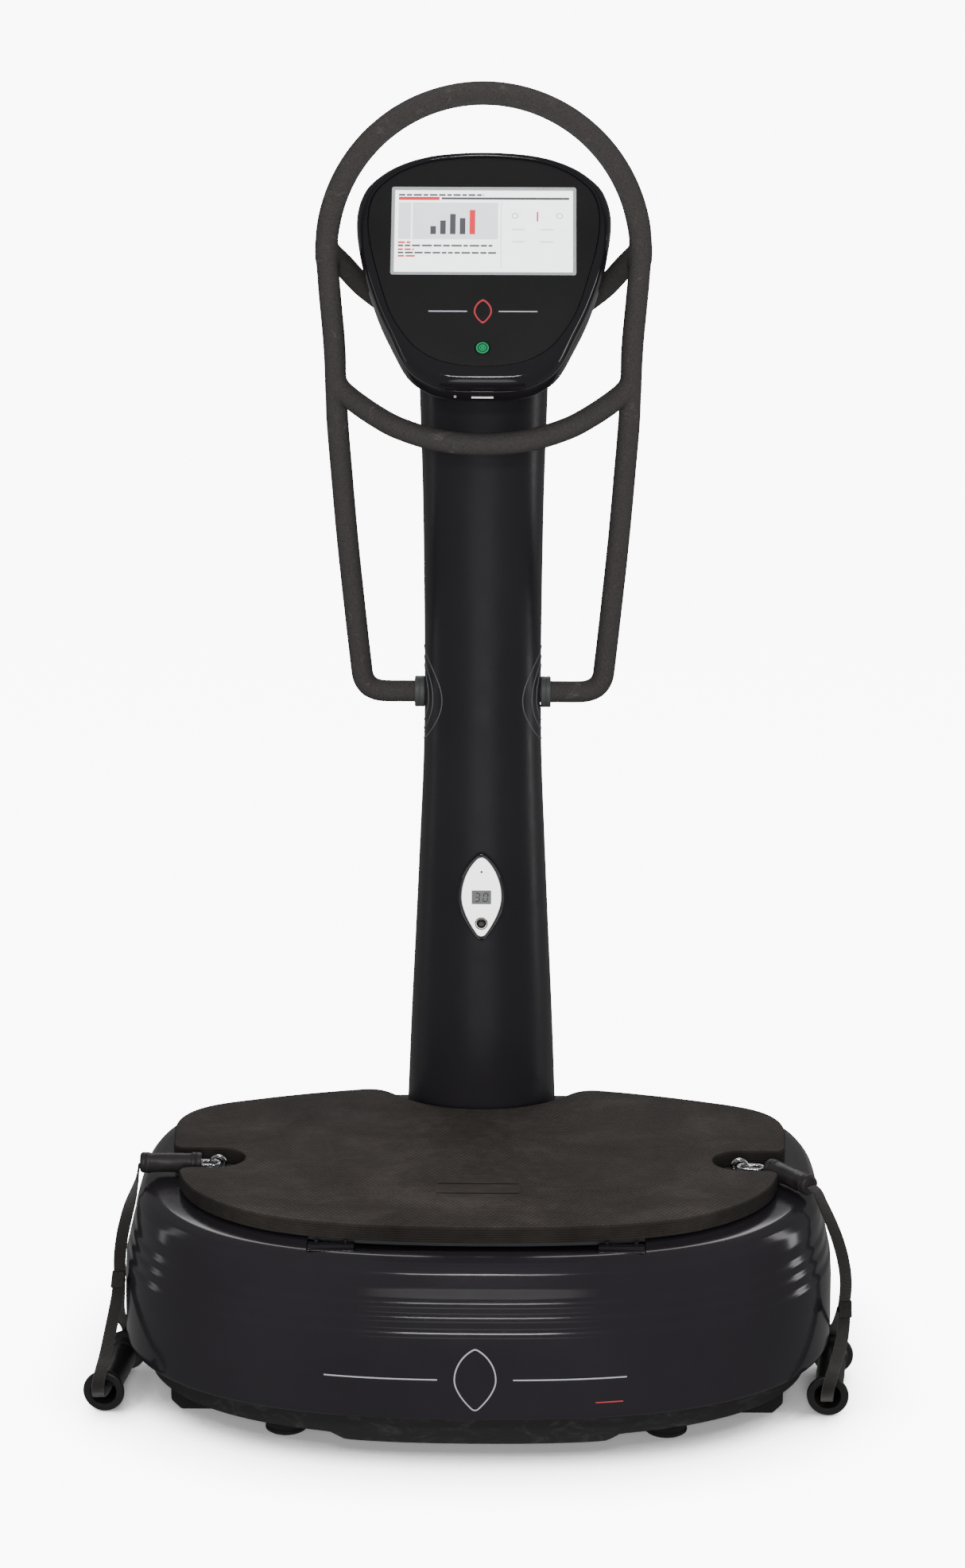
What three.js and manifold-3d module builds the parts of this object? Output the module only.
// Vibration plate: an oval floor base with a sprung platform and two unbalanced motors, a column
// with a handlebar and a tilted touch-screen console, and two short hand straps.
// Millimetres, +Z up, -Y towards the user. The origin is on the floor, at the middle of the base.
// The parts are drawn with the base's widest section at y = WIDEST_Y, and ORIGIN_SHIFT then moves
// them all together, which brings that section to y = 0.
import * as THREE from 'three';
import { mergeVertices } from 'three/addons/utils/BufferGeometryUtils.js';
import Module from 'manifold-3d';

const wasm = await Module();
wasm.setup();

// ---- Driving dimensions ----
const GAP = 0.3; // between pieces that touch

// Base: an oval that is fuller than an ellipse, and fuller still behind its widest section
const BASE_HALF_WIDTH = 435;
const BASE_FRONT = 335; // from the widest section to the front
const BASE_REAR = 338; // from the widest section to the rear
const WIDEST_Y = -72;
const ORIGIN_SHIFT = -WIDEST_Y;
const FRONT_POWER = 2.5;
const REAR_POWER = 3.5;
const OVAL_SEGMENTS = 48;
const DECK_Z = 252.5; // top of the base shell
const RIM_Z = 65; // lower edge of the base shell
const SHELL_WALL = 3;
const SKIRT_INSET = 28;
const SKIRT_WALL = 4;
const SKIRT_Z = 32;
const FRAME_Z = 34; // underside of the chassis plate
const FRAME_PLATE = 6;
const FRAME_TOP = FRAME_Z + FRAME_PLATE;
const RECESS_HALF_X = 198; // shallow recess in the deck, ahead of the mat
const INLET_HALF_X = 45; // opening for the mains inlet, at the rear
const INLET_Z = [96, 136];
const FOOT_RADIUS = 25;
const FEET = {
  front_left: [-227, -282],
  front_right: [227, -282],
  rear_left: [-200, 180],
  rear_right: [200, 180],
};
const SIDE_FOOT_X = 336;
const MOUNTS = { // air mounts under the platform
  front_left: [-250, -230],
  front_right: [250, -230],
  rear_left: [-250, 50],
  rear_right: [250, 50],
};
const MOUNT_Z = 190; // top of the chassis posts under the air mounts
const SWITCH_X = 24;

// Platform
const PLATE_TOP = 254.7;
const PLATE_THICK = 8;
const MAT_BOTTOM = PLATE_TOP + GAP;
const MAT_THICK = 20;
const SLOT_Y = -91; // middle of the two strap slots
const SLOT_HALF = 35;
const SLOT_END_X = 322; // centre of the slot's round inner end
const EYE_X = 320;
const EYE_Z = 267;
const LATCH_X = 170;
const LATCH_WIDTH = 54;

// Two motors under the platform, each with a half-round weight at both ends of its shaft
const MOTOR_X = 120;
const MOTOR_Z = 176;
const MOTOR_HALF = 92; // half the housing's length
const MOTOR_RADIUS = 50;
const SHAFT_RADIUS = 8;
const WEIGHT_RADIUS = 38;
const WEIGHT_THICK = 20;

// Column and handlebar
const COLUMN_Y = 216; // widest section of the column, and the line of the sockets
const COLUMN_TOP = 1330;
const COVER_LOW = 150; // the covers run down to here, less what the base takes from them
const COVER_WALL = 3;
const POST_Y = 196;
const POST_HALF_X = 45;
const POST_HALF_Y = 28;
const POST_WALL = 5;
const POST_TOP = 1238;
const SOCKET_Z = 795;
const BAR_RADIUS = 13.8;
const ARCH_BAR_RADIUS = 14.4;
const ARCH_Z = 1357; // centre height of the round top of the handlebar
const ARCH_RADIUS = 191.8;
const ARCH_Y = 141;

// Console: a tilted plane, measured up the slope from the bottom edge of its face
const FACE_TILT = THREE.MathUtils.degToRad(53); // the face plane's angle above the floor
const FACE_ORIGIN = [0, 38, 1236];
const CONSOLE_DEPTH = 74;
const CONSOLE_CENTRE = 150; // the outline's centre up the slope
const OUTLINE_STEPS = 36;
const RIM = 10; // the rim between the shell's outline and the face's is this many parts wide
const SCREEN = { halfWidth: 113, low: 124, high: 248 };
const POWER_W = 22.4;

// Small display on the column
const STATUS_Z = 548;
const STATUS_Y = 124.5;
const STATUS_TILT = THREE.MathUtils.degToRad(2.3);

// Straps
const HOOK_LENGTH = 36;
const SLEEVE_RADIUS = 12.5;
const SLEEVE_LENGTH = 76;
const WEBBING_RADIUS = 4;
const GRIP_LENGTH = 139;
const GRIP_BORE = 13.5;

// ---- Colours and finishes ----
const FINISH = {
  shell: { color: 0x242227, roughness: 0.3, metalness: 0 },
  skirt: { color: 0x1c1d1d, roughness: 0.8, metalness: 0 },
  steel: { color: 0x3a3c3e, roughness: 0.55, metalness: 0.7 },
  rubber: { color: 0x151515, roughness: 0.85, metalness: 0 },
  mat: { color: 0x3b3833, roughness: 0.9, metalness: 0 },
  bar: { color: 0x33302d, roughness: 0.8, metalness: 0 },
  collar: { color: 0x4a4d4b, roughness: 0.6, metalness: 0 },
  gloss: { color: 0x0b0b0c, roughness: 0.12, metalness: 0 },
  face: { color: 0x2c2c2c, roughness: 0.6, metalness: 0 },
  silver: { color: 0x9a9c9e, roughness: 0.35, metalness: 0.8 },
  screen: { color: 0xe9ebee, roughness: 0.1, metalness: 0 },
  white: { color: 0xf2f2ef, roughness: 0.4, metalness: 0 },
  green: { color: 0x1f9d55, roughness: 0.4, metalness: 0 },
  board: { color: 0x1f5a36, roughness: 0.6, metalness: 0 },
  chrome: { color: 0xcfd2d4, roughness: 0.12, metalness: 1 },
  webbing: { color: 0x1d1917, roughness: 0.9, metalness: 0 },
  motor: { color: 0x5c6064, roughness: 0.5, metalness: 0.6 },
};

const group = new THREE.Group();
const machine = new THREE.Group();
machine.position.y = ORIGIN_SHIFT;
group.add(machine);

function add(name, geometry, finish, parent = machine) {
  const mesh = new THREE.Mesh(geometry, new THREE.MeshStandardMaterial(FINISH[finish]));
  mesh.name = name;
  parent.add(mesh);
  return mesh;
}

// ---- Closed solids and booleans ----

// Shared vertices merged, flat triangles dropped and faces pointing out.
function weld(geometry) {
  const bare = geometry.index ? geometry.toNonIndexed() : geometry.clone();
  bare.deleteAttribute('normal');
  bare.deleteAttribute('uv');
  const merged = mergeVertices(bare, 1e-3);
  const index = merged.index.array;
  const p = merged.attributes.position;
  const kept = [];
  let volume = 0;
  const [a, b, c] = [new THREE.Vector3(), new THREE.Vector3(), new THREE.Vector3()];
  for (let i = 0; i < index.length; i += 3) {
    const [ia, ib, ic] = [index[i], index[i + 1], index[i + 2]];
    if (ia === ib || ib === ic || ic === ia) continue;
    kept.push(ia, ib, ic);
    a.fromBufferAttribute(p, ia);
    b.fromBufferAttribute(p, ib);
    c.fromBufferAttribute(p, ic);
    volume += a.dot(b.cross(c));
  }
  merged.setIndex(volume < 0 ? kept.reverse() : kept);
  return merged;
}

function toSolid(geometry) {
  const g = weld(geometry);
  return new wasm.Manifold(new wasm.Mesh({
    numProp: 3,
    vertProperties: new Float32Array(g.attributes.position.array),
    triVerts: new Uint32Array(g.index.array),
  }));
}

function toGeometry(solid) {
  const mesh = solid.getMesh();
  const g = new THREE.BufferGeometry();
  g.setAttribute('position', new THREE.BufferAttribute(new Float32Array(mesh.vertProperties), 3));
  g.setIndex([...mesh.triVerts]);
  const faceted = g.toNonIndexed();
  faceted.computeVertexNormals();
  return faceted;
}

function join(...geometries) {
  return toGeometry(geometries.map(toSolid).reduce((all, one) => all.add(one)));
}

function cut(geometry, ...tools) {
  return toGeometry(tools.reduce((left, tool) => left.subtract(toSolid(tool)), toSolid(geometry)));
}

// ---- Shapes ----

function box(x0, x1, y0, y1, z0, z1) {
  return new THREE.BoxGeometry(x1 - x0, y1 - y0, z1 - z0)
    .translate((x0 + x1) / 2, (y0 + y1) / 2, (z0 + z1) / 2);
}

function prism(shape, z0, z1, curveSegments = 8) {
  return new THREE.ExtrudeGeometry(shape, { depth: z1 - z0, bevelEnabled: false, curveSegments })
    .translate(0, 0, z0);
}

// A shape drawn in (y, z), extruded along x.
function alongX(shape, depth) {
  return new THREE.ExtrudeGeometry(shape, { depth, bevelEnabled: false })
    .applyMatrix4(new THREE.Matrix4().set(0, 0, 1, 0, 1, 0, 0, 0, 0, 1, 0, 0, 0, 0, 0, 1));
}

function circleShape(radius) {
  return new THREE.Shape().absarc(0, 0, radius, 0, 2 * Math.PI, false);
}

// A round bar along a curve.
function tube(points, radius, steps, sides = 10) {
  const curve = new THREE.CatmullRomCurve3(points.map((p) => new THREE.Vector3(...p)), false);
  return new THREE.ExtrudeGeometry(circleShape(radius), {
    steps, bevelEnabled: false, extrudePath: curve, curveSegments: sides / 2,
  });
}

// A body of revolution whose axis runs from one point towards another. The profile is a list of
// [distance along the axis, radius].
function turned(profile, from, to, segments = 24) {
  const start = new THREE.Vector3(...from);
  const direction = new THREE.Vector3(...to).sub(start).normalize();
  const turn = new THREE.Quaternion().setFromUnitVectors(new THREE.Vector3(0, 1, 0), direction);
  return new THREE.LatheGeometry(profile.map(([along, r]) => new THREE.Vector2(r, along)), segments)
    .applyQuaternion(turn)
    .translate(start.x, start.y, start.z);
}

// The closed section of a round wire that is bent into a ring.
function wireSection(ringRadius, wireRadius) {
  return [0, 1, 2, 3, 4, 5, 0].map((k) => new THREE.Vector2(
    ringRadius + wireRadius * Math.cos((k * Math.PI) / 3),
    wireRadius * Math.sin((k * Math.PI) / 3),
  ));
}

// A lathe whose circles are bent into another outline: the profile is a list of [inset, height],
// and place(angle, inset, height) gives the point.
function bentLathe(profile, segments, place) {
  const reach = 1000;
  const lathe = new THREE.LatheGeometry(
    profile.map(([inset, height]) => new THREE.Vector2(inset === null ? 0 : reach - inset, height)),
    segments,
  );
  const p = lathe.attributes.position;
  for (let i = 0; i < p.count; i += 1) {
    const [x, height, z] = [p.getX(i), p.getY(i), p.getZ(i)];
    const r = Math.hypot(x, z);
    const onAxis = r < 1e-6;
    p.setXYZ(i, ...place(Math.atan2(z, x), onAxis ? null : reach - r, height));
  }
  return lathe;
}

function fuller(value, power) {
  return Math.sign(value) * Math.abs(value) ** (2 / power);
}

function ovalPoint(angle, inset, z) {
  const [c, s] = [Math.cos(angle), Math.sin(angle)];
  if (inset === null) return [0, WIDEST_Y, z];
  const depth = (s < 0 ? BASE_FRONT : BASE_REAR) - inset;
  const power = s < 0 ? FRONT_POWER : REAR_POWER;
  return [
    (BASE_HALF_WIDTH - inset) * fuller(c, power),
    WIDEST_Y + depth * fuller(s, power),
    z,
  ];
}

function oval(profile) {
  return bentLathe(profile, OVAL_SEGMENTS, ovalPoint);
}

// A closed outline from the points of its right half, mirrored to the left.
function mirrored(half) {
  const left = half.filter(([x]) => x > 0.01).map(([x, y]) => [-x, y]).reverse();
  return [...half, ...left];
}

function shapeOf(points) {
  return new THREE.Shape(points.map(([x, y]) => new THREE.Vector2(x, y)));
}

// Points of the mat's right half from the front round to the notch at the rear, moved in by inset.
function matHalf(inset, withSlot) {
  const path = new THREE.Path();
  const mouth = 16; // radius of the slot's mouth corners
  path.moveTo(0, -333 + inset);
  path.bezierCurveTo(110, -333 + inset, 205, -322 + inset, 262 - inset * 0.5, -287 + inset * 0.9);
  path.bezierCurveTo(318 - inset * 0.8, -252 + inset * 0.6, 352 - inset, -205, 362 - inset, -150);
  if (withSlot) {
    path.lineTo(364, SLOT_Y - SLOT_HALF - mouth);
    path.quadraticCurveTo(365, SLOT_Y - SLOT_HALF, 365 - mouth, SLOT_Y - SLOT_HALF);
    path.lineTo(SLOT_END_X, SLOT_Y - SLOT_HALF);
    path.absarc(SLOT_END_X, SLOT_Y, SLOT_HALF, -Math.PI / 2, Math.PI / 2, true);
    path.lineTo(378 - mouth, SLOT_Y + SLOT_HALF);
    path.quadraticCurveTo(378, SLOT_Y + SLOT_HALF, 379, SLOT_Y + SLOT_HALF + mouth);
  }
  path.lineTo(383 - inset, 20);
  path.bezierCurveTo(384 - inset, 75 - inset, 362 - inset, 104 - inset, 318 - inset * 0.5, 124 - inset);
  path.bezierCurveTo(270, 144 - inset, 225, 163 - inset, 152 + inset * 0.2, 180 - inset);
  path.bezierCurveTo(128, 184 - inset, 118, 170 - inset, 105, 152 - inset);
  path.bezierCurveTo(80, 120 - inset, 45, 101 - inset, 0, 101 - inset);
  return path.getPoints(7).map((p) => [p.x, p.y]);
}

function matShape(inset, withSlot) {
  return shapeOf(mirrored(matHalf(inset, withSlot)));
}

// ---- Column section ----
// Rows of [height, half width, reach forward, reach back] from the column's widest section.
const COLUMN_ROWS = [
  [DECK_Z + GAP, 95.8, 104, 48],
  [365, 91.3, 96, 48],
  [500, 84.8, 88, 47],
  [600, 80.2, 82, 47],
  [720, 75.2, 76.5, 46],
  [840, 74, 75, 46],
  [1040, 76, 75, 46],
  [1180, 80, 75, 46],
  [1300, 82.3, 72, 46],
  [COLUMN_TOP, 77.5, 66, 42],
];
const COLUMN_POWER = 2.35;

function columnRow(z) {
  const last = COLUMN_ROWS.length - 1;
  let k = 0;
  while (k < last - 1 && z > COLUMN_ROWS[k + 1][0]) k += 1;
  const [low, high] = [COLUMN_ROWS[k], COLUMN_ROWS[k + 1]];
  const t = THREE.MathUtils.clamp((z - low[0]) / (high[0] - low[0]), 0, 1);
  return low.map((value, i) => THREE.MathUtils.lerp(value, high[i], t));
}

function columnPoint(angle, inset, z) {
  const [, half, ahead, behind] = columnRow(z);
  const [c, s] = [Math.cos(angle), Math.sin(angle)];
  if (inset === null) return [0, COLUMN_Y, z];
  const depth = (s < 0 ? ahead : behind) - inset;
  return [
    (half - inset) * fuller(c, COLUMN_POWER),
    COLUMN_Y + depth * fuller(s, COLUMN_POWER),
    z,
  ];
}

function columnLathe(profile) {
  return bentLathe(profile, 28, columnPoint);
}

// ---- Base ----
const SHELL_OUTSIDE = [ // [inset, height], with three ridges round the shoulder
  [1.5, RIM_Z], [0, 72], [0.4, 140], [2.2, 171], [5.2, 174], [5.8, 188], [8.8, 191],
  [9.4, 204], [12.4, 207], [14, 222], [18, 238], [26, 248], [38, 251.5], [52, DECK_Z],
];

// The upper part of the base as one solid, a gap larger all round.
function baseWithGap() {
  const above = SHELL_OUTSIDE.filter(([, z]) => z > 100).map(([inset, z]) => [inset - GAP, z + GAP]);
  return oval([[null, 100], [-GAP, 100], ...above, [null, DECK_Z + GAP]]);
}

function makeBase() {
  const inside = [
    [34, 246], [22, 232], [9, 172], [SHELL_WALL + 0.5, 130], [SHELL_WALL + 0.5, RIM_Z],
  ];
  const shell = oval([
    ...SHELL_OUTSIDE, [null, DECK_Z], [null, DECK_Z - SHELL_WALL], ...inside, SHELL_OUTSIDE[0],
  ]);
  const columnHole = columnLathe([[null, 150], [14, 150], [14, 270], [null, 270]]);
  const frontRecess = box(-RECESS_HALF_X, RECESS_HALF_X, -352, -300, 240, 270);
  const inletHole = box(-INLET_HALF_X, INLET_HALF_X, 239, 279, ...INLET_Z);
  const platformHole = prism(matShape(10, false), 240, 270);
  add('base_shell', cut(shell, platformHole, columnHole, frontRecess, inletHole), 'shell');

  const skirtIn = SKIRT_INSET + SKIRT_WALL;
  const flange = SHELL_WALL + 1;
  const skirt = oval([
    [SKIRT_INSET, 24], [SKIRT_INSET, 67], [flange, 67], [flange, 71], [skirtIn, 71],
    [skirtIn, 24], [SKIRT_INSET, 24],
  ]);
  const sides = [box(-500, -160, -500, 500, 0, SKIRT_Z), box(160, 500, -500, 500, 0, SKIRT_Z)];
  const rear = box(-170, 170, 0, 500, 0, SKIRT_Z);
  add('base_skirt', cut(skirt, ...sides, rear), 'skirt');

  const plateInset = skirtIn + GAP;
  const plate = oval([
    [null, FRAME_Z], [plateInset, FRAME_Z], [plateInset, FRAME_TOP], [null, FRAME_TOP],
  ]);
  const low = FRAME_TOP - 1;
  const railTop = FRAME_TOP + 30;
  const posts = Object.values(MOUNTS).map(([x, y]) => box(x - 25, x + 25, y - 25, y + 25, low, MOUNT_Z));
  const rails = [-250, 250].map((x) => box(x - 20, x + 20, -270, 195, low, railTop));
  const cross = box(-251, 251, 88, 106, low, railTop);
  add('base_frame', join(plate, ...posts, ...rails, cross), 'steel');
}

function makeAirMounts() {
  const top = PLATE_TOP - PLATE_THICK - GAP;
  const low = MOUNT_Z + GAP;
  const fold = (top - low) / 4;
  const profile = [
    [0, 0], [0, 25], [fold, 31], [fold * 2, 25], [fold * 3, 31], [fold * 4, 25], [fold * 4, 0],
  ];
  Object.entries(MOUNTS).forEach(([name, [x, y]]) => {
    add(`air_mount_${name}`, turned(profile, [x, y, low], [x, y, top], 14), 'rubber');
  });
}

function makeFeet() {
  const top = FRAME_Z - GAP;
  const foot = [
    [0, 0], [0, FOOT_RADIUS - 3], [3, FOOT_RADIUS], [14, FOOT_RADIUS], [16, 9], [top, 9], [top, 0],
  ];
  Object.entries(FEET).forEach(([name, [x, y]]) => {
    add(`foot_${name}`, turned(foot, [x, y, 0], [x, y, 1], 18), 'rubber');
  });
  const block = new THREE.Shape();
  block.moveTo(-30, 0);
  block.lineTo(22, 0);
  block.lineTo(34, 12);
  block.lineTo(34, top);
  block.lineTo(-34, top);
  block.lineTo(-34, 6);
  block.closePath();
  ['left', 'right'].forEach((side, i) => {
    const outward = i === 0 ? -1 : 1;
    const solid = new THREE.ExtrudeGeometry(block, { depth: 60, bevelEnabled: false });
    solid.rotateX(Math.PI / 2);
    if (outward < 0) solid.rotateZ(Math.PI).translate(0, -60, 0);
    add(`side_foot_${side}`, weld(solid.translate(outward * SIDE_FOOT_X, -166, 0)), 'rubber');
  });
}

// ---- Platform and drive ----
function makePlatform() {
  const bottom = PLATE_TOP - PLATE_THICK;
  const motorBolts = box(-4, 4, -4, 4, bottom - 5, PLATE_TOP + 5);
  const bolt = (x, y) => motorBolts.clone().translate(x, y, 0);
  const plate = prism(matShape(13.5, false), bottom, PLATE_TOP);
  const holes = [-1, 1].flatMap((side) => [-1, 1].map((end) => bolt(side * MOTOR_X, SLOT_Y + end * 60)));
  add('platform_plate', cut(plate, ...holes), 'steel');
  add('plate_mat', prism(matShape(0, true), MAT_BOTTOM, MAT_BOTTOM + MAT_THICK), 'mat');

  ['left', 'right'].forEach((side, i) => {
    const x = (i === 0 ? -1 : 1) * EYE_X;
    const ring = new THREE.LatheGeometry(wireSection(9, 2.2), 14).translate(x, SLOT_Y, EYE_Z);
    const pad = box(x - 15, x + 15, SLOT_Y - 12, SLOT_Y + 12, MAT_BOTTOM, MAT_BOTTOM + 2.5);
    add(`strap_eye_${side}`, join(ring, pad), 'chrome');
  });

  ['left', 'right'].forEach((side, i) => {
    const outward = i === 0 ? -1 : 1;
    const clip = new THREE.Shape();
    clip.moveTo(-345, 243);
    clip.lineTo(-322, 243);
    clip.lineTo(-322, 253);
    clip.lineTo(-334, 253);
    clip.lineTo(-338, 251);
    clip.lineTo(-345, 250);
    clip.closePath();
    const solid = alongX(clip, LATCH_WIDTH).translate(outward * LATCH_X - LATCH_WIDTH / 2, 0, 0);
    add(`front_latch_${side}`, weld(solid), 'rubber');
  });
}

function makeMotors() {
  ['left', 'right'].forEach((side, i) => {
    const x = (i === 0 ? -1 : 1) * MOTOR_X;
    const [y0, y1] = [SLOT_Y - MOTOR_HALF, SLOT_Y + MOTOR_HALF];
    const bore = SHAFT_RADIUS + GAP;
    const long = 2 * MOTOR_HALF;
    const barrel = turned([
      [0, bore], [0, MOTOR_RADIUS - 10], [8, MOTOR_RADIUS], [long - 8, MOTOR_RADIUS],
      [long, MOTOR_RADIUS - 10], [long, bore], [0, bore],
    ], [x, y0, MOTOR_Z], [x, y1, MOTOR_Z], 24);
    const top = PLATE_TOP - PLATE_THICK - GAP;
    const saddle = box(x - 45, x + 45, SLOT_Y - 75, SLOT_Y + 75, MOTOR_Z + 30, top);
    add(`motor_housing_${side}`, join(barrel, saddle), 'motor');

    const reach = MOTOR_HALF + 28;
    const shaft = turned([[0, 0], [0, SHAFT_RADIUS], [2 * reach, SHAFT_RADIUS], [2 * reach, 0]],
      [x, SLOT_Y - reach, MOTOR_Z], [x, y1, MOTOR_Z], 16);
    const half = new THREE.Shape();
    half.absarc(0, 0, WEIGHT_RADIUS, Math.PI, 2 * Math.PI, false);
    half.lineTo(12, 8);
    half.lineTo(-12, 8);
    half.closePath();
    const weights = [y0 - 24, y1 + 4].map((y) => new THREE.ExtrudeGeometry(half, {
      depth: WEIGHT_THICK, bevelEnabled: false, curveSegments: 10,
    }).rotateX(Math.PI / 2).translate(x, y + WEIGHT_THICK, MOTOR_Z));
    add(`rotor_${side}`, join(shaft, ...weights), 'steel');
  });
}

// ---- Electrics in the base ----
function makeElectrics() {
  const floor = FRAME_TOP + GAP;
  const controller = box(-205, -75, 112, 207, floor, floor + 62);
  const fin = (k) => box(-197 + k * 20, -191 + k * 20, 112, 207, floor + 61, floor + 74);
  add('motor_controller', join(controller, ...[0, 1, 2, 3, 4, 5].map(fin)), 'motor');

  const panel = box(-44.6, 44.6, 260, 265.4, 96.4, 135.6);
  const housing = box(-40, 0, 231, 261, 99, 133);
  const socket = box(-34, -8, 245, 279, 106, 126);
  const rockerHole = box(SWITCH_X - 11, SWITCH_X + 11, 254, 279, 102, 130);
  add('mains_inlet', cut(join(panel, housing), socket, rockerHole), 'rubber');

  const rocker = new THREE.Shape();
  rocker.moveTo(256, 106);
  rocker.lineTo(263.4, 103.4);
  rocker.lineTo(264.4, 116);
  rocker.lineTo(265.8, 127.6);
  rocker.lineTo(256, 125);
  rocker.closePath();
  const width = 19;
  add('mains_switch', weld(alongX(rocker, width).translate(SWITCH_X - width / 2, 0, 0)), 'rubber');
}

// ---- Column ----
function consoleMatrix() {
  return new THREE.Matrix4().makeRotationX(FACE_TILT).setPosition(...FACE_ORIGIN);
}

function makeColumn() {
  const rows = [COVER_LOW, ...COLUMN_ROWS.map(([z]) => z)];
  const outer = rows.map((z) => [0, z]);
  const inner = rows.slice(0, -1).reverse().map((z) => [COVER_WALL, z]);
  const skin = columnLathe([
    ...outer, [null, COLUMN_TOP], [null, COLUMN_TOP - COVER_WALL], ...inner, outer[0],
  ]);
  const behindConsole = box(-200, 200, -400, 600, -CONSOLE_DEPTH - 7, 400).applyMatrix4(consoleMatrix());
  const socketHole = turned([[0, 0], [0, 21], [400, 21], [400, 0]],
    [-200, COLUMN_Y, SOCKET_Z], [200, COLUMN_Y, SOCKET_Z], 24);
  const whole = cut(skin, behindConsole, socketHole, baseWithGap());
  const ahead = box(-200, 200, -100, COLUMN_Y + GAP / 2, 0, 1600);
  const behind = box(-200, 200, COLUMN_Y - GAP / 2, 600, 0, 1600);
  const keyhole = turned([[0, 0], [0, 5], [60, 5], [60, 0]],
    [0, COLUMN_Y + 20, 420], [0, COLUMN_Y + 100, 420], 16);
  add('column_front_cover', cut(whole, behind), 'shell');
  add('column_rear_cover', cut(whole, ahead, keyhole), 'shell');

  const upright = (halfX, halfY, z0, z1) => (
    box(-halfX, halfX, POST_Y - halfY, POST_Y + halfY, z0, z1));
  const post = upright(POST_HALF_X, POST_HALF_Y, FRAME_TOP + GAP, POST_TOP);
  const bore = upright(POST_HALF_X - POST_WALL, POST_HALF_Y - POST_WALL, 0, 1400);
  const foot = upright(68, 36, FRAME_TOP + GAP, FRAME_TOP + 12);
  add('column_post', cut(join(post, foot), bore), 'steel');

  const plate = box(-55, 55, 70, 190, -CONSOLE_DEPTH - 6.5, -CONSOLE_DEPTH - GAP)
    .applyMatrix4(consoleMatrix());
  const front = POST_Y - POST_HALF_Y;
  const neck = box(-38, 38, front, front + 12, POST_TOP + GAP, 1340);
  const above = box(-200, 200, -400, 600, -CONSOLE_DEPTH - 1, 400).applyMatrix4(consoleMatrix());
  add('console_bracket', join(plate, cut(neck, above)), 'steel');
}

// ---- Handlebar ----
function legPoints(side) {
  const run = [46, 80, 112, 126];
  const rise = [
    [144, 215, 800], [152, 214, 813.5], [154.8, 211, 834], [162.2, 197, 912], [169.6, 182, 996],
    [175.6, 168, 1079], [180.8, 155, 1160], [182.8, 147, 1240], [187.4, 143, 1300],
    [ARCH_RADIUS, ARCH_Y, ARCH_Z],
  ];
  return [...run.map((x) => [x, COLUMN_Y, SOCKET_Z]), ...rise].map(([x, y, z]) => [side * x, y, z]);
}

function archPoints() {
  const count = 12;
  return Array.from({ length: count + 1 }, (_, k) => {
    const angle = (Math.PI * k) / count;
    return [
      ARCH_RADIUS * Math.cos(angle),
      ARCH_Y - 10 * Math.sin(angle),
      ARCH_Z + 1.2 + (ARCH_RADIUS + 1.5) * Math.sin(angle),
    ];
  });
}

function makeHandlebar() {
  const legs = [-1, 1].map((side) => tube(legPoints(side), BAR_RADIUS, 22));
  const fat = [-1, 1].map((side) => tube(legPoints(side), BAR_RADIUS + GAP, 22));
  add('handlebar_leg_left', legs[0], 'bar');
  add('handlebar_leg_right', legs[1], 'bar');
  add('handlebar_arch', cut(tube(archPoints(), ARCH_BAR_RADIUS, 18), ...fat), 'bar');
  const fatArch = tube(archPoints(), ARCH_BAR_RADIUS + GAP, 18);

  const bow = [[182, 153, 1194], [160, 138, 1178], [129, 112, 1161], [100, 94, 1149], [55, 78, 1138]];
  const bowPoints = [
    ...bow.map(([x, y, z]) => [-x, y, z]), [0, 72, 1134], ...bow.slice().reverse(),
  ];
  add('handlebar_cross_bar', cut(tube(bowPoints, BAR_RADIUS, 16), ...fat), 'bar');

  const column = columnLathe([
    [null, 900], [-GAP, 900], ...COLUMN_ROWS.filter(([z]) => z > 900).map(([z]) => [-GAP, z]),
    [null, COLUMN_TOP],
  ]);
  ['left', 'right'].forEach((name, i) => {
    const side = i === 0 ? -1 : 1;
    const path = [
      [186, 150, 1356], [173, 174, 1340], [151, 210, 1311], [125, 231, 1288], [98, 232, 1270],
      [66, 230, 1256],
    ];
    const arm = tube(path.map(([x, y, z]) => [side * x, y, z]), BAR_RADIUS, 8);
    add(`handlebar_arm_${name}`, cut(arm, fat[i], fatArch, column), 'bar');
  });

  ['left', 'right'].forEach((name, i) => {
    const side = i === 0 ? -1 : 1;
    const at = (x) => [side * x, COLUMN_Y, SOCKET_Z];
    const inner = BAR_RADIUS + GAP;
    const bush = turned([[0, inner], [0, 20.6], [24, 20.6], [24, inner], [0, inner]], at(47), at(90));
    add(`socket_bush_${name}`, bush, 'rubber');
    const collar = turned([
      [0, inner], [0, 19], [1.5, 19.8], [11.5, 19.8], [13, 19], [13, inner], [0, inner],
    ], at(73.5), at(90));
    add(`socket_collar_${name}`, collar, 'collar');
  });
}

// ---- Console ----
function closedCurve(half) {
  const points = mirrored(half).map(([x, y]) => new THREE.Vector3(x, y, 0));
  return new THREE.CatmullRomCurve3(points, true).getSpacedPoints(OUTLINE_STEPS);
}

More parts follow.
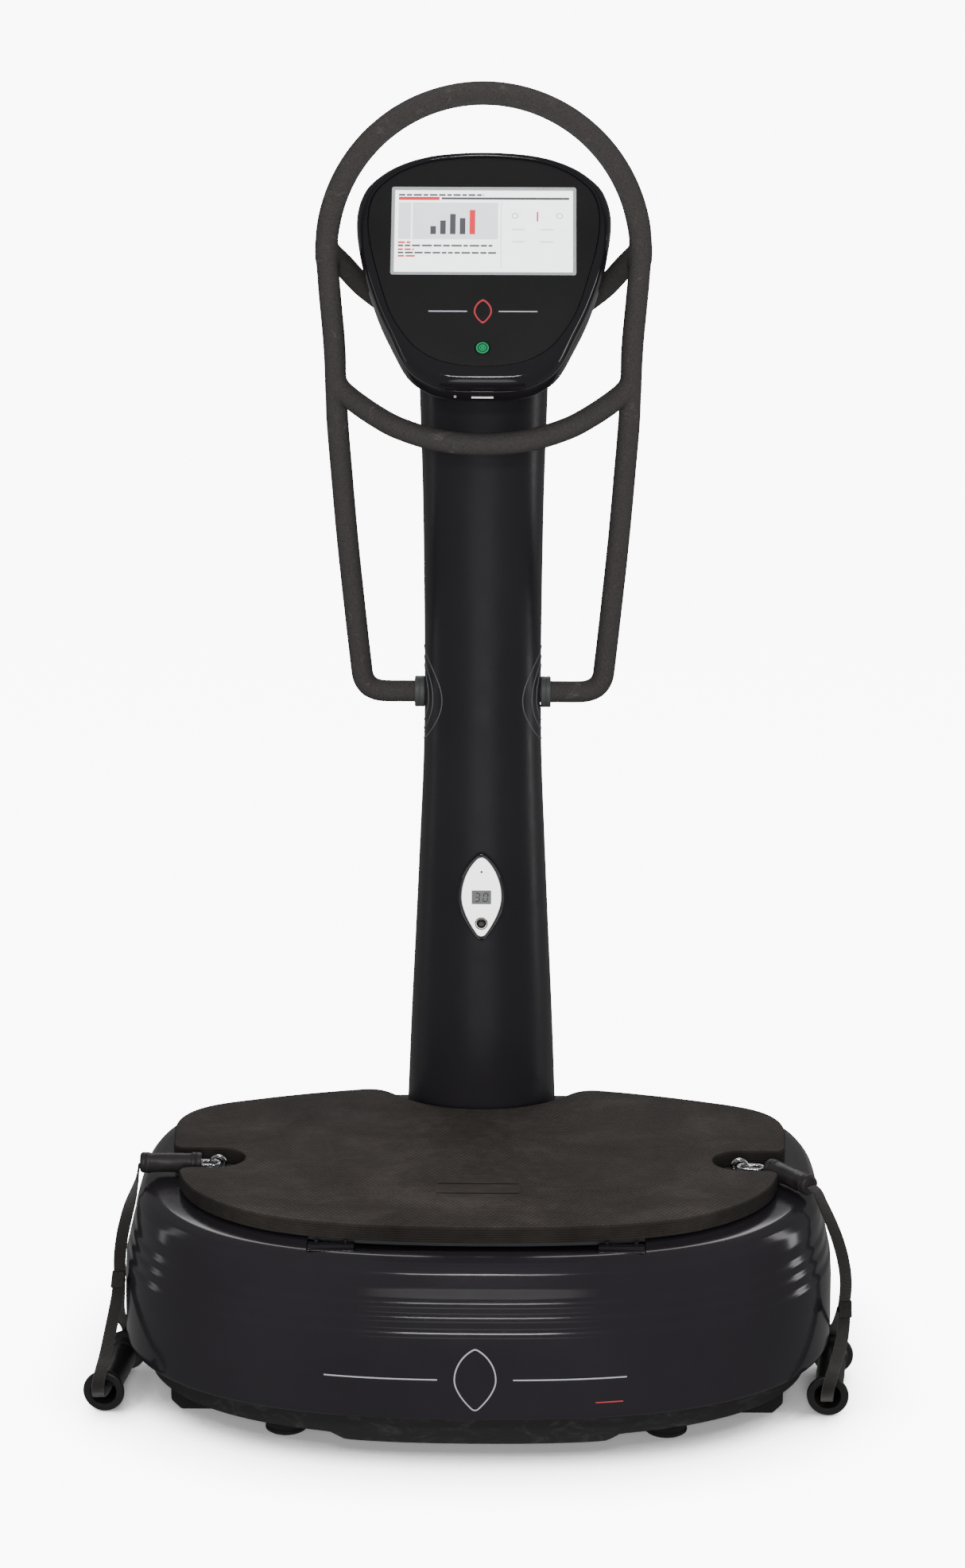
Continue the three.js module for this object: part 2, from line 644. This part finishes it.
const SHELL_OUTLINE = closedCurve([
  [0, -27], [46, -25], [73, -14], [94, 6], [113, 46], [129.5, 84], [145, 132], [153, 170],
  [156, 205], [152, 232], [140, 255], [110, 279], [64, 295], [0, 300],
]);
const FACE_OUTLINE = closedCurve([
  [0, -3], [46, 3], [76, 19], [94, 39], [113, 73], [128, 123], [138, 166], [141.5, 200],
  [138, 228], [126, 250], [98, 272], [58, 286], [0, 291],
]);

// A point of the console: from the shell's outline to the face's as inset goes from 0 to RIM, and
// from there towards the middle, a hundredth for each further part of inset.
function consolePoint(angle, inset, height) {
  if (inset === null) return [0, CONSOLE_CENTRE, height];
  const step = Math.round((((angle / (2 * Math.PI)) % 1) + 1) * OUTLINE_STEPS) % OUTLINE_STEPS;
  const point = SHELL_OUTLINE[step].clone().lerp(FACE_OUTLINE[step], Math.min(inset, RIM) / RIM);
  const scale = 1 - Math.max(inset - RIM, 0) / 100;
  return [point.x * scale, CONSOLE_CENTRE + (point.y - CONSOLE_CENTRE) * scale, height];
}

function consoleLathe(profile) {
  return bentLathe(profile, OUTLINE_STEPS, consolePoint);
}

function disc(radius, x, y, z0, z1, sides = 24) {
  return prism(circleShape(radius), z0, z1, sides / 2).translate(x, y, 0);
}

function makeConsole() {
  const tilted = new THREE.Group();
  tilted.position.set(...FACE_ORIGIN);
  tilted.rotation.x = FACE_TILT;
  machine.add(tilted);

  const shell = consoleLathe([
    [RIM, 0], [RIM - 1, 2.2], [6, 3.2], [3, 1.5], [1, -4], [0, -13], [0.4, -21], [2.2, -26.5],
    [3, -28.5], [1.8, -31], [1.6, -50], [4, -59], [9, -65], [24, -71], [50, -CONSOLE_DEPTH],
    [null, -CONSOLE_DEPTH], [null, 3 - CONSOLE_DEPTH], [50, 3 - CONSOLE_DEPTH], [25, -68],
    [14, -63], [7, -55], [5, -45], [5, -10], [RIM + 3, -8], [RIM + 3, -4.3], [RIM, -4.3],
    [RIM, 0],
  ]);
  add('console_shell', weld(shell), 'gloss', tilted);

  const edge = RIM + 0.25; // leaves a gap of about GAP round the face
  const panel = consoleLathe([[null, -4], [edge, -4], [edge, 0], [null, 0]]);
  const { halfWidth, low, high } = SCREEN;
  const opening = box(-halfWidth - GAP, halfWidth + GAP, low - GAP, high + GAP, -20, 20);
  const buttonHole = disc(9.5, 0, POWER_W, -20, 20);
  add('console_face', cut(panel, opening, buttonHole), 'face', tilted);

  const frame = box(-halfWidth, halfWidth, low, high, -4, 0.8);
  const window = box(4 - halfWidth, halfWidth - 4, low + 4, high - 4, -20, 20);
  add('screen_bezel', cut(frame, window), 'silver', tilted);
  add('display_screen', box(4.3 - halfWidth, halfWidth - 4.3, low + 4.3, high - 4.3, -7, -0.4),
    'screen', tilted);
  add('display_board', box(-100, 100, low - 10, high - 4, -16, -11), 'board', tilted);
  add('power_button', disc(9.1, 0, POWER_W, -4, 0.6), 'green', tilted);
}

// ---- Small display on the column ----
function lens(halfWidth, halfHeight, tip) {
  const shape = new THREE.Shape();
  shape.moveTo(tip, -halfHeight + tip * 0.6);
  shape.bezierCurveTo(halfWidth * 0.62, -halfHeight * 0.66, halfWidth, -halfHeight * 0.3, halfWidth, 0);
  shape.bezierCurveTo(halfWidth, halfHeight * 0.42, halfWidth * 0.6, halfHeight * 0.78, tip,
    halfHeight - tip * 0.5);
  shape.quadraticCurveTo(0, halfHeight + tip * 0.3, -tip, halfHeight - tip * 0.5);
  shape.bezierCurveTo(-halfWidth * 0.6, halfHeight * 0.78, -halfWidth, halfHeight * 0.42, -halfWidth, 0);
  shape.bezierCurveTo(-halfWidth, -halfHeight * 0.3, -halfWidth * 0.62, -halfHeight * 0.66, -tip,
    -halfHeight + tip * 0.6);
  shape.quadraticCurveTo(0, -halfHeight - tip * 0.3, tip, -halfHeight + tip * 0.6);
  return shape;
}

function makeStatusDisplay() {
  const place = new THREE.Matrix4()
    .makeRotationX(Math.PI / 2 - STATUS_TILT)
    .setPosition(0, STATUS_Y, STATUS_Z);
  const put = (geometry) => geometry.applyMatrix4(place);
  const column = columnLathe([
    [null, 400], [-GAP, 400], [-GAP, 500], [-GAP, 600], [-GAP, 670], [null, 670],
  ]);
  const recess = lens(25.2, 51.6, 5);
  const rim = cut(prism(lens(30.7, 57, 6), -14, 0, 5), prism(recess, -5, 5, 5),
    disc(7.2, 0, -34, -20, 5));
  add('status_surround', cut(put(rim), column), 'rubber');

  const window = box(-12.4, 12.4, -9.2, 9.2, -20, 5);
  const panel = cut(prism(lens(24.9, 51.3, 5), -4.6, -0.6, 5), window, disc(6.7, 0, -34, -20, 5));
  add('status_panel', put(panel), 'white');
  add('status_lcd', put(box(-12.1, 12.1, -8.9, 8.9, -4.6, -0.9)), 'screen');
  add('status_button', put(disc(6.2, 0, -34, -3.4, 1.6, 16)), 'rubber');
}

// ---- Straps ----
const STRAPS = {
  left: {
    side: -1,
    sleeve: [[-340, -91, 267.5], [-415, -93, 268]],
    webbing: [
      [-417, -94, 266], [-418.5, -103, 252], [-421.5, -118, 237], [-427, -138, 219],
      [-433, -154, 196], [-435.5, -164, 172], [-435.5, -168, 148],
    ],
    loop: [
      [-437, -160, 143], [-438, -147, 122], [-440, -128, 92], [-441, -104, 70], [-440, -84, 56],
      [-437, -72, 43], [-436, -76, 30], [-436, -98, 26], [-443, -167, 26], [-451, -237, 26],
      [-454, -260, 31], [-454, -264, 46], [-451, -250, 61], [-448, -232, 72], [-443, -205, 98],
      [-438, -184, 125], [-436, -177, 143],
    ],
    grip: [[-451, -237, 26], [-436, -98, 26]],
  },
  right: {
    side: 1,
    sleeve: [[357, -96.5, 267.5], [410, -167, 266]],
    webbing: [
      [404, -159, 266], [410, -167, 262], [416, -174, 250], [426, -180, 229], [436, -183, 203],
      [443, -184, 176], [446, -184, 150], [444.5, -183, 122],
    ],
    loop: [
      [444, -175, 117], [443, -160, 103], [441, -138, 86], [440, -108, 69], [440, -85, 56],
      [440, -72, 43], [440, -76, 30], [440, -98, 26], [431, -167, 26], [423, -235, 26],
      [420, -258, 31], [421, -263, 46], [426, -252, 60], [432, -236, 70], [440, -213, 88],
      [443.5, -198, 104], [444, -192, 117],
    ],
    grip: [[423, -235, 26], [440, -98, 26]],
  },
};

// A closed oval of round wire, lying flat, from one end to the other.
function wireOval(length, halfWidth, radius) {
  const ring = new THREE.LatheGeometry(wireSection(halfWidth, radius), 14, Math.PI / 14);
  const stretch = length / 2 - halfWidth - radius;
  const p = ring.attributes.position;
  for (let i = 0; i < p.count; i += 1) {
    p.setX(i, p.getX(i) + Math.sign(p.getX(i)) * stretch);
  }
  return ring.rotateX(Math.PI / 2);
}

function makeStraps() {
  Object.entries(STRAPS).forEach(([name, strap]) => {
    const [from, to] = strap.sleeve;
    const along = Math.atan2(to[1] - from[1], to[0] - from[0]);
    const start = strap.side * (EYE_X - 4);
    const hook = wireOval(HOOK_LENGTH, 8, 2)
      .translate(HOOK_LENGTH / 2, 0, 0)
      .rotateZ(strap.side < 0 ? Math.PI : -0.14)
      .translate(start, SLOT_Y, EYE_Z);
    add(`strap_hook_${name}`, weld(hook), 'chrome');

    const rise = (to[2] - from[2]) / SLEEVE_LENGTH;
    const ahead = [from[0] + Math.cos(along), from[1] + Math.sin(along), from[2] + rise];
    const sleeve = turned([
      [14, 0], [14, 10.9], [0, 10.9], [0, 11.8], [3, SLEEVE_RADIUS],
      [SLEEVE_LENGTH - 4, SLEEVE_RADIUS], [SLEEVE_LENGTH, 9], [SLEEVE_LENGTH, 0],
    ], from, ahead, 20);
    add(`strap_sleeve_${name}`, weld(sleeve), 'rubber');
    const clearance = SLEEVE_RADIUS + GAP;
    const sleeveTool = turned([
      [-1, 0], [-1, clearance], [SLEEVE_LENGTH + GAP, clearance], [SLEEVE_LENGTH + GAP, 0],
    ], from, ahead, 20);

    const webbing = tube(strap.webbing, WEBBING_RADIUS, 12, 8);
    add(`strap_webbing_${name}`, cut(webbing, sleeveTool), 'webbing');
    add(`strap_loop_${name}`, tube(strap.loop, WEBBING_RADIUS, 32, 8), 'webbing');

    const grip = [
      [0, 15.5], [1, 24], [4, 25.5], [8, 24.5], [14, 17.5], [GRIP_LENGTH - 14, 17.5],
      [GRIP_LENGTH - 8, 24.5], [GRIP_LENGTH - 4, 25.5], [GRIP_LENGTH - 1, 24],
      [GRIP_LENGTH, 15.5], [GRIP_LENGTH - 12, GRIP_BORE], [12, GRIP_BORE], [0, 15.5],
    ];
    add(`strap_grip_${name}`, weld(turned(grip, ...strap.grip, 18)), 'rubber');
  });
}

makeBase();
makeAirMounts();
makeFeet();
makePlatform();
makeMotors();
makeElectrics();
makeColumn();
makeHandlebar();
makeConsole();
makeStatusDisplay();
makeStraps();

export default group;
